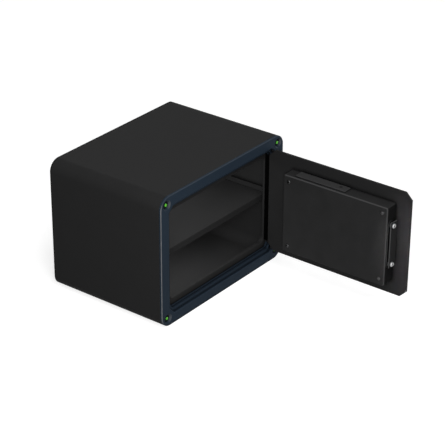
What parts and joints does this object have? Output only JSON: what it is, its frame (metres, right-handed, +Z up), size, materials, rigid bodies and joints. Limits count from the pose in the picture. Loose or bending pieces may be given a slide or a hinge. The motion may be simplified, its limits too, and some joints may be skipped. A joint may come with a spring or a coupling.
{
  "type": "portable car safe",
  "caption": "Compact black steel car safe with a navy moulded front frame, one inner shelf and a side hinged door that carries a lock cover, two round bolts, a knob and a keypad.",
  "frame": {"origin": "middle of the body's underside, on the surface that the safe stands on", "axes": "+X to the right as one faces the door opening, +Y from the door opening to the back, +Z up; at rest the door stands open at a right angle"},
  "size_m": [0.35, 0.5435, 0.25],
  "materials": {
    "black_coat": "fine textured black powder coat",
    "navy_moulding": "satin dark navy blue moulding",
    "green_cap": "bright green",
    "black_moulding": "fine grained black",
    "lid_moulding": "satin dark grey",
    "key_moulding": "satin grey",
    "bright_steel": "bright plated",
    "zinc_steel": "zinc plated",
    "rubber": "matt black",
    "brass": "plain",
    "cell_wrap": "plain sleeve",
    "green_board": "solder mask",
    "lamp_lens": "diffusing lens"
  },
  "bodies": {
    "body": {"body_shell": "black_coat", "back_panel": "black_coat", "front_frame": "navy_moulding", "door_collar": "black_coat", "shelf": "black_coat", "shelf_rail_left": "black_coat", "shelf_rail_right": "black_coat", "corner_cap_1": "green_cap", "corner_cap_2": "green_cap", "corner_cap_3": "green_cap", "corner_cap_4": "green_cap", "base_plug_1": "rubber", "base_plug_2": "rubber", "back_plug_1": "rubber", "back_plug_2": "rubber", "hinge_pin_lower": "zinc_steel", "hinge_pin_upper": "zinc_steel"},
    "door": {"door_plate": "black_coat", "lock_cover": "black_moulding", "bolt_guide": "rubber", "cover_screw_1": "bright_steel", "cover_screw_2": "bright_steel", "cover_screw_3": "bright_steel", "cover_screw_4": "bright_steel", "battery_tray": "black_moulding", "battery_cell_1": "cell_wrap", "battery_cell_2": "cell_wrap", "battery_cell_3": "cell_wrap", "battery_cell_4": "cell_wrap", "keypad_panel": "black_moulding", "status_lamp": "lamp_lens", "override_barrel": "bright_steel", "circuit_board": "green_board", "board_buzzer": "black_moulding", "board_connector": "key_moulding", "solenoid_frame": "zinc_steel", "solenoid_coil": "brass"},
    "bolts": {"bolt_bar": "zinc_steel", "bolt_lower": "bright_steel", "bolt_upper": "bright_steel"},
    "knob": {"turn_knob": "black_moulding", "knob_spindle": "zinc_steel"},
    "lid": {"battery_lid": "lid_moulding"},
    "plunger": {"solenoid_plunger": "bright_steel"},
    "override": {"override_plug": "brass"},
    "key_1": {"keypad_key_1": "key_moulding"},
    "key_2": {"keypad_key_2": "key_moulding"},
    "key_3": {"keypad_key_3": "key_moulding"},
    "key_4": {"keypad_key_4": "key_moulding"},
    "key_5": {"keypad_key_5": "key_moulding"},
    "key_6": {"keypad_key_6": "key_moulding"},
    "key_7": {"keypad_key_7": "key_moulding"},
    "key_8": {"keypad_key_8": "key_moulding"},
    "key_9": {"keypad_key_9": "key_moulding"},
    "key_10": {"keypad_key_10": "key_moulding"},
    "key_11": {"keypad_key_11": "key_moulding"},
    "key_12": {"keypad_key_12": "key_moulding"}
  },
  "joints": [
    {"name": "door_hinge", "type": "hinge", "parent": "body", "child": "door", "pos_m": [0.1454, -0.1226, 0.125], "axis": [0, 0, 1], "range_deg": [-90, 15]},
    {"name": "knob_turn", "type": "hinge", "parent": "door", "child": "knob", "pos_m": [0.1454, -0.3262, 0.125], "axis": [1, 0, 0], "range_deg": [0, 90]},
    {"name": "bolt_slide", "type": "slide", "parent": "door", "child": "bolts", "axis": [0, -1, 0], "range_m": [0, 0.018]},
    {"name": "lid_slide", "type": "slide", "parent": "door", "child": "lid", "axis": [0, -1, 0], "range_m": [0, 0.007]},
    {"name": "plunger_slide", "type": "slide", "parent": "door", "child": "plunger", "axis": [0, 1, 0], "range_m": [0, 0.004], "stiffness_N_per_m": 60, "springref_m": -0.003},
    {"name": "override_turn", "type": "hinge", "parent": "door", "child": "override", "pos_m": [0.1454, -0.3262, 0.077], "axis": [1, 0, 0], "range_deg": [0, 90]},
    {"name": "key_1_press", "type": "slide", "parent": "door", "child": "key_1", "axis": [-1, 0, 0], "range_m": [0, 0.0012], "stiffness_N_per_m": 400, "springref_m": -0.0006},
    {"name": "key_2_press", "type": "slide", "parent": "door", "child": "key_2", "axis": [-1, 0, 0], "range_m": [0, 0.0012], "stiffness_N_per_m": 400, "springref_m": -0.0006},
    {"name": "key_3_press", "type": "slide", "parent": "door", "child": "key_3", "axis": [-1, 0, 0], "range_m": [0, 0.0012], "stiffness_N_per_m": 400, "springref_m": -0.0006},
    {"name": "key_4_press", "type": "slide", "parent": "door", "child": "key_4", "axis": [-1, 0, 0], "range_m": [0, 0.0012], "stiffness_N_per_m": 400, "springref_m": -0.0006},
    {"name": "key_5_press", "type": "slide", "parent": "door", "child": "key_5", "axis": [-1, 0, 0], "range_m": [0, 0.0012], "stiffness_N_per_m": 400, "springref_m": -0.0006},
    {"name": "key_6_press", "type": "slide", "parent": "door", "child": "key_6", "axis": [-1, 0, 0], "range_m": [0, 0.0012], "stiffness_N_per_m": 400, "springref_m": -0.0006},
    {"name": "key_7_press", "type": "slide", "parent": "door", "child": "key_7", "axis": [-1, 0, 0], "range_m": [0, 0.0012], "stiffness_N_per_m": 400, "springref_m": -0.0006},
    {"name": "key_8_press", "type": "slide", "parent": "door", "child": "key_8", "axis": [-1, 0, 0], "range_m": [0, 0.0012], "stiffness_N_per_m": 400, "springref_m": -0.0006},
    {"name": "key_9_press", "type": "slide", "parent": "door", "child": "key_9", "axis": [-1, 0, 0], "range_m": [0, 0.0012], "stiffness_N_per_m": 400, "springref_m": -0.0006},
    {"name": "key_10_press", "type": "slide", "parent": "door", "child": "key_10", "axis": [-1, 0, 0], "range_m": [0, 0.0012], "stiffness_N_per_m": 400, "springref_m": -0.0006},
    {"name": "key_11_press", "type": "slide", "parent": "door", "child": "key_11", "axis": [-1, 0, 0], "range_m": [0, 0.0012], "stiffness_N_per_m": 400, "springref_m": -0.0006},
    {"name": "key_12_press", "type": "slide", "parent": "door", "child": "key_12", "axis": [-1, 0, 0], "range_m": [0, 0.0012], "stiffness_N_per_m": 400, "springref_m": -0.0006}
  ],
  "couplings": [
    {"joint": "knob_turn", "follows": "bolt_slide", "rad_per_m": 87.26}
  ]
}
